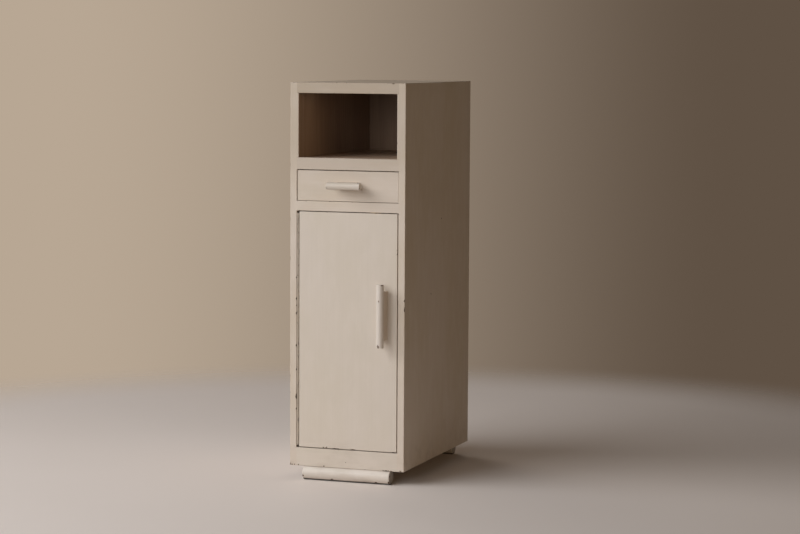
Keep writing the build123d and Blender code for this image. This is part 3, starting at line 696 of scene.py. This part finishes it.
@dataclass
class Carcass(SubAssembly):
    """Sides, top, rails, bottom and back."""

    body: str = "carcass"
    jamb_mm: float = 20.0  # how deep the paint goes into the openings
    lip_mm: float = 5.0  # how far under the top the stain ends
    hair_mm: float = 0.1  # keeps the stain's limits clear of a board's faces
    # how much the niche rail and the top rail are darkened all over
    niche_rail_grime: float = 0.1
    top_rail_grime: float = 0.2
    chips: tuple[Chip, ...] = (
        Chip((122.0, -242.8, 1014.5), (4.0, 3.0, 2.4)),
        Chip((155.0, -242.8, 470.0), (2.4, 2.4, 3.0)),
        Chip((155.0, -242.8, 447.0), (2.4, 2.4, 5.0)),
        Chip((155.0, -242.8, 452.5), (2.0, 2.4, 2.4)),
        Chip((109.0, -243.0, 35.5), (14.0, 4.0, 2.2)),
        Chip((146.6, -243.0, 37.0), (2.8, 2.4, 2.4)),
        Chip((-155.0, -242.8, 38.0), (2.8, 2.4, 3.2)),
        Chip((-149.0, -243.0, 37.5), (2.0, 2.4, 1.9)),
        Chip((-142.0, -243.0, 37.5), (2.0, 2.4, 1.8)),
        Chip((-131.0, -243.0, 37.0), (2.2, 2.4, 1.9)),
        Chip((-61.0, -243.0, 37.5), (2.2, 2.4, 1.9)),
        Chip((-2.0, -243.0, 50.5), (1.0, 2.4, 1.4)),
        Chip((-137.2, -242.8, 519.0), (1.8, 2.2, 2.2)),
        Chip((-137.2, -242.8, 465.0), (1.8, 2.2, 4.6)),
        Chip((-137.2, -242.8, 448.0), (1.6, 2.2, 2.2)),
        Chip((-137.2, -242.8, 428.0), (1.8, 2.2, 4.0)),
        Chip((-137.2, -242.8, 345.0), (1.8, 2.2, 2.8)),
        Chip((-137.2, -242.8, 283.0), (1.8, 2.2, 2.6)),
        Chip((-137.4, -242.8, 213.5), (2.8, 3.0, 7.0)),
        Chip((-137.2, -242.8, 182.0), (1.9, 2.2, 3.0)),
        Chip((155.2, 43.5, 659.5), (2.0, 2.6, 2.6)),
        Chip((155.2, -37.5, 469.0), (2.0, 2.0, 2.2)),
    )

    def build(self) -> None:
        """Dresses the boards: painted where they show from outside, duller at the top, and stained within."""
        low, high = self.corners("left_side_panel")
        inner = -high[0]
        space = {
            "low_mm": (-inner - self.hair_mm, low[1] + self.jamb_mm, -FAR_MM),
            "high_mm": (inner + self.hair_mm, high[1] - self.hair_mm, high[2] - self.lip_mm),
        }
        stain = STAINED[Along.HEIGHT]
        sides = LinedPaint("cream_oil_paint_sides", Along.HEIGHT, BARE, self.chips, stain=stain, **space)
        self.dress(sides, "left_side_panel", "right_side_panel")
        top = replace(sides, name="cream_oil_paint_top", along=Along.DEPTH, stain=STAINED[Along.DEPTH])
        self.dress(top, "top_panel")
        rails = painted("rails", Along.WIDTH, *self.chips)
        self.dress(rails, "drawer_rail")
        niche = replace(rails, name="cream_oil_paint_niche_rail", darkening=self.niche_rail_grime)
        self.dress(niche, "niche_rail")
        head = replace(rails, name="cream_oil_paint_top_rail", darkening=self.top_rail_grime)
        self.dress(head, "top_rail")
        self.dress(replace(rails, name="cream_oil_paint_bottom_rail", **WIPED), "bottom_rail")
        self.dress(STAINED[Along.WIDTH], "bottom_panel")
        low, high = self.corners("back_panel")
        middle = (low[1] + high[1]) / 2
        # the back's inner face is darker as painted shade deep in the niche
        back = TwoFacedBack("stained_and_bare_plywood", STAINED_PLYWOOD_AND_SHADE, PLYWOOD_BACK, middle)
        self.dress(back, "back_panel")


@dataclass
class Niche(SubAssembly):
    """The open compartment's liners and floor."""

    body: str = "carcass"
    face_mm: float = 1.6  # how much of a liner's front edge carries paint

    def build(self) -> None:
        """Dresses the liners, painted on their front edges, and the floor."""
        low, _ = self.corners("niche_liner_left")
        liner = LinedPaint(
            "cream_oil_paint_liners",
            Along.HEIGHT,
            BARE,
            stain=STAINED[Along.HEIGHT],
            low_mm=(-FAR_MM, low[1] + self.face_mm, -FAR_MM),
            high_mm=(FAR_MM, FAR_MM, FAR_MM),
        )
        self.dress(liner, "niche_liner_left", "niche_liner_right")
        # the niche floor's paler stain is a painted sheen
        self.dress(STAINED_FLOOR_WITH_SHEEN, "niche_floor")


@dataclass
class Cupboard(SubAssembly):
    """The shelf behind the door with its cleats, and the strip that the door shuts against."""

    body: str = "carcass"

    def build(self) -> None:
        """Dresses the boards, all stained."""
        self.dress(STAINED[Along.WIDTH], "shelf")
        self.dress(STAINED[Along.DEPTH], "shelf_cleat_left", "shelf_cleat_right")
        self.dress(STAINED[Along.HEIGHT], "door_stop")


@dataclass
class DrawerWays(SubAssembly):
    """What the drawer runs on, under and against."""

    body: str = "carcass"

    def build(self) -> None:
        """Dresses the plain strips and the dust board."""
        for kind in ("runner", "kicker", "stop"):
            self.dress(BEECH[Along.DEPTH], f"drawer_{kind}_left", f"drawer_{kind}_right")
        self.dress(PLYWOOD_FLAT, "dust_board")


@dataclass
class Feet(SubAssembly):
    """Two round bars across the width, and the bearer that the rear one is screwed to."""

    body: str = "carcass"
    chips: tuple[Chip, ...] = (
        Chip((-116.5, -248.5, 12.0), (3.2, 4.4, 4.6)),
        Chip((-38.0, -248.5, 5.5), (5.0, 5.0, 1.8)),
        Chip((81.0, -248.5, 4.5), (6.0, 5.0, 2.2)),
        Chip((55.0, -248.5, 3.6), (8.0, 4.0, 2.0)),
        Chip((116.5, -248.5, 6.0), (3.0, 5.0, 3.6)),
        Chip((118.0, -244.5, 22.0), (2.2, 4.0, 2.6)),
    )

    def build(self) -> None:
        """Dresses the bars and the bearer."""
        for node in ("front_foot", "rear_foot"):
            low, high = self.corners(node)
            round_bar = {"edges_wear": False, "rim_mm": (low[0], high[0])}
            name = f"cream_oil_paint_{node}"
            # the feet's whitest paint is a painted highlight of light from above
            self.dress(FootPaint(name, Along.WIDTH, BARE, self.chips, **round_bar, **FOOT_WHITES_AS_HIGHLIGHT), node)
        self.dress(STAINED[Along.WIDTH], "rear_bearer")


@dataclass
class Door(SubAssembly):
    """The door panel and its bar handle."""

    body: str = "door"
    chips: tuple[Chip, ...] = (
        Chip((-62.6, -242.3, 86.0), (1.9, 3.0, 2.2)),
        Chip((-54.3, -242.3, 86.0), (2.2, 3.0, 2.4)),
        Chip((16.6, -242.3, 84.5), (8.0, 3.0, 1.8)),
        Chip((134.6, -242.3, 587.0), (1.8, 2.4, 2.6)),
        Chip((128.0, -242.3, 84.3), (7.0, 3.0, 1.7)),
        Chip((-30.0, -242.3, 84.3), (10.0, 3.0, 1.5)),
    )
    handle_chips: tuple[Chip, ...] = (
        Chip((99.5, -282.3, 471.0), (1.8, 2.4, 2.2)),
        Chip((98.6, -281.4, 356.0), (3.4, 4.4, 4.6)),
        Chip((107.5, -279.0, 511.0), (2.6, 4.0, 1.8)),
    )

    def build(self) -> None:
        """Dresses the panel and the handle."""
        self.dress(painted("door", Along.HEIGHT, *self.chips, **WIPED), "door_panel")
        low, high = self.corners("door_handle_bar")
        round_bar = {"edges_wear": False, "rim_mm": (low[2], high[2])}
        bar = painted("door_bar", Along.HEIGHT, *self.handle_chips, **round_bar, **WHITER)
        self.dress(bar, "door_handle_bar")
        self.dress(painted("door_rib", Along.HEIGHT), "door_handle_rib")
        self.dress(STEEL, "door_handle_screws")


@dataclass
class StripHinge(SubAssembly):
    """The strip hinge's two leaves, its pin and its screws."""

    body: str = "carcass and door"

    def build(self) -> None:
        """Dresses the leaves as painted steel, and the rest as bare steel."""
        leaf = PaintedSteel("rubbed_painted_steel", painted("hinge", Along.HEIGHT), STEEL)
        self.dress(leaf, "hinge_frame_leaf", "hinge_door_leaf")
        self.dress(STEEL, "hinge_pin", "hinge_frame_screws", "hinge_door_screws")


@dataclass
class BulletCatch(SubAssembly):
    """The sprung catch in the door's top edge and its strike."""

    body: str = "door, catch_plunger and carcass"
    press_mm: float = 3.2  # how far the plunger goes in

    def build(self) -> None:
        """Dresses the brass pieces and makes the steel spring."""
        self.dress(BRASS, "catch_barrel", "catch_plunger", "catch_strike", "catch_strike_screws")
        self.build_coil()

    def build_coil(self) -> None:
        """Makes the spring as a copy of the CAD coil, carried on the door in place of the CAD piece."""
        coil = bpy.data.objects.new("catch_spring_coil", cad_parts["catch_spring"].data.copy())
        bpy.context.scene.collection.objects.link(coil)
        coil.material_slots[0].material = STEEL.material()
        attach(coil, "door")
        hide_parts("catch_spring")
        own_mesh(coil)
        log.info("%s: %s on door, pressed by catch_plunger", coil.name, STEEL.name)


@dataclass
class Drawer(SubAssembly):
    """The drawer box with its painted front and bar handle."""

    body: str = "drawer"
    handle_chips: tuple[Chip, ...] = (
        Chip((41.5, -276.0, 765.5), (2.0, 3.4, 2.2)),
        Chip((46.0, -279.0, 752.0), (1.5, 2.6, 2.4)),
    )

    def build(self) -> None:
        """Dresses the front, the handle and the box."""
        front = painted("drawer", Along.WIDTH, edges_wear=False)
        self.dress(front, "drawer_front", "drawer_handle_rib")
        low, high = self.corners("drawer_handle_bar")
        round_bar = {"edges_wear": False, "rim_mm": (low[0], high[0])}
        bar = painted("drawer_bar", Along.WIDTH, *self.handle_chips, **round_bar, **WHITER)
        self.dress(bar, "drawer_handle_bar")
        self.dress(BEECH[Along.DEPTH], "drawer_side_left", "drawer_side_right")
        self.dress(BEECH[Along.WIDTH], "drawer_back")
        self.dress(PLYWOOD_FLAT, "drawer_bottom")
        self.dress(STEEL, "drawer_handle_screws", "drawer_pins")


@dataclass
class Fixings(SubAssembly):
    """Dowels, nails and screws that hold the carcass together."""

    body: str = "carcass"

    def build(self) -> None:
        """Dresses the beech dowels and the steel nails and screws."""
        self.dress(BEECH[Along.WIDTH], "carcass_dowels")
        self.dress(STEEL, "back_panel_nails", "foot_screws")


@dataclass
class Lamp:
    """A softbox: where it stands, how large it is, its power, and how wide its grid lets it shine."""

    name: str
    place: Triple
    aim: Triple
    size: Pair
    watts: float
    spread: float  # degrees
    colour: str = "#FFFFFF"

    def build(self) -> None:
        """Makes the area light, which lights the scene and isn't seen itself."""
        light = bpy.data.lights.new(self.name, "AREA")
        light.shape = "RECTANGLE"
        light.size, light.size_y = self.size
        light.energy = self.watts
        light.spread = math.radians(self.spread)
        light.color = linear(self.colour)[:3]
        lamp = bpy.data.objects.new(self.name, light)
        lamp.location = self.place
        lamp.visible_camera = False
        lamp.rotation_mode = "QUATERNION"
        lamp.rotation_quaternion = (Vector(self.aim) - Vector(self.place)).to_track_quat("-Z", "Y")
        bpy.context.scene.collection.objects.link(lamp)


@dataclass(frozen=True)
class StudioPaint(Finish):
    """Matt pale paint of the studio floor, faintly uneven from the roller, fading out into the backdrop."""

    floor: str = "#EDE4DF"
    shade: str = "#CFC4B8"
    roughness: float = 0.92
    fade_mm: Pair = (1450.0, 2150.0)  # from the middle of the floor
    drift: ClassVar[Blotch] = Blotch((700.0, 700.0), 2.0, most=0.06)

    def coat(self, canvas: Canvas) -> Coat:
        """Draws the floor's tone and its very slight drift."""
        drift = canvas.blotches(Along.WIDTH, self.drift)
        return Coat(linear(self.floor), self.roughness).tinged(canvas, self.shade, drift)

    def material(self) -> bpy.types.Material:
        """Adds the fade at the floor's far edge.

        Returns:
            The material, by the finish's name.
        """
        made = super().material()
        canvas = Canvas(made.node_tree)
        away = canvas.add("VectorMath", canvas.point, output="Value", operation="LENGTH")
        near = canvas.add("MapRange", away, *reversed(self.fade_mm), **SOFT)
        made.node_tree.links.new(near, made.node_tree.nodes["Principled BSDF"].inputs["Alpha"])
        return made


@dataclass
class Studio:
    """Floor, backdrop, light and camera."""

    floor_radius: float = 2.4
    steps: int = 96
    camera_place: Triple = (2.1439, -5.89135, 1.1051)
    camera_turn: float = 0.34058  # radians round the cabinet, to its right
    camera_tilt: float = 0.0914
    camera_roll: float = 0.00568
    lens: float = 108.0
    sensor: float = 36.0
    paint: StudioPaint = StudioPaint("matt_studio_paint")
    pale_wall: str = "#B8A794"
    dim_wall: str = "#5F5144"
    wall_fade: Pair = (-0.47, -0.2)  # how far to the left a look goes, from the pale wall to the dim one
    ambient: str = "#FFE6CC"
    ambient_strength: float = 0.03
    lamps: tuple[Lamp, ...] = (
        Lamp("key", (-2.7, -2.5, 2.6), (0.0, -0.15, 0.4), (4.8, 2.0), 77.0, 130.0),
        Lamp("front", (-0.4, -5.0, 1.3), (0.0, 0.0, 0.4), (3.0, 1.4), 16.0, 100.0),
        Lamp("fill", (3.6, -2.3, 1.5), (0.1, -0.1, 1.1), (2.4, 1.4), 6.5, 110.0, "#FFDDB0"),
        Lamp("rear", (-3.2, 3.2, 1.8), (0.0, 0.28, 0.5), (2.4, 1.6), 10.0, 90.0, "#FFF0E0"),
    )

    def build(self) -> None:
        """Makes the whole studio."""
        self.build_floor()
        self.build_light()
        self.build_camera()

    def build_floor(self) -> None:
        """Makes a round floor, so that every view has the same plain ground."""
        made = bmesh.new()
        bmesh.ops.create_circle(made, cap_ends=True, segments=self.steps, radius=self.floor_radius)
        mesh = bpy.data.meshes.new("studio_floor")
        made.to_mesh(mesh)
        made.free()
        mesh.materials.append(self.paint.material())
        floor = bpy.data.objects.new("studio_floor", mesh)
        bpy.context.scene.collection.objects.link(floor)

    def build_light(self) -> None:
        """Sets the lamps, and a world that looks like a wall, paler on the left, and lights only a little."""
        for lamp in self.lamps:
            lamp.build()
        world = bpy.data.worlds.new("studio_air")
        world.use_nodes = True
        canvas = Canvas(world.node_tree)
        way = canvas.add("SeparateXYZ", canvas.add("TexCoord", output="Generated"))
        fade = canvas.add("MapRange", way, *self.wall_fade, **SOFT)
        wall = Coat(linear(self.pale_wall), 1.0).tinged(canvas, self.dim_wall, fade).colour
        wall = canvas.add("Background", wall)
        air = world.node_tree.nodes["Background"]
        air.inputs["Color"].default_value = linear(self.ambient)
        air.inputs["Strength"].default_value = self.ambient_strength
        rays = canvas.add("LightPath").node.outputs
        seen = canvas.add("Math", rays["Is Camera Ray"], rays["Is Glossy Ray"], operation="MAXIMUM")
        seen = canvas.add("Math", seen, rays["Is Transmission Ray"], operation="MAXIMUM")
        both = canvas.add("MixShader", seen, air.outputs[0], wall)
        world.node_tree.links.new(both, world.node_tree.nodes["World Output"].inputs["Surface"])
        bpy.context.scene.world = world
        bpy.context.scene.view_settings.view_transform = "Standard"

    def build_camera(self) -> None:
        """Puts the camera where the photograph was taken from."""
        made = bpy.data.cameras.new("camera")
        made.lens, made.sensor_width = self.lens, self.sensor
        camera = bpy.data.objects.new("camera", made)
        flat, drop = math.cos(self.camera_tilt), math.sin(self.camera_tilt)
        ahead = Vector((-math.sin(self.camera_turn) * flat, math.cos(self.camera_turn) * flat, -drop))
        camera.location = self.camera_place
        camera.rotation_mode = "QUATERNION"
        roll = Quaternion((0, 0, 1), self.camera_roll)
        camera.rotation_quaternion = ahead.to_track_quat("-Z", "Y") @ roll
        bpy.context.scene.collection.objects.link(camera)
        bpy.context.scene.camera = camera


def main() -> None:
    """Builds the studio and dresses each sub-assembly."""
    logging.basicConfig(level=logging.INFO, format="%(name)s: %(message)s")
    Studio().build()
    for kind in (Carcass, Niche, Cupboard, DrawerWays, Feet, Door, StripHinge, BulletCatch, Drawer, Fixings):
        kind().build()


if __name__ == "__main__":
    main()
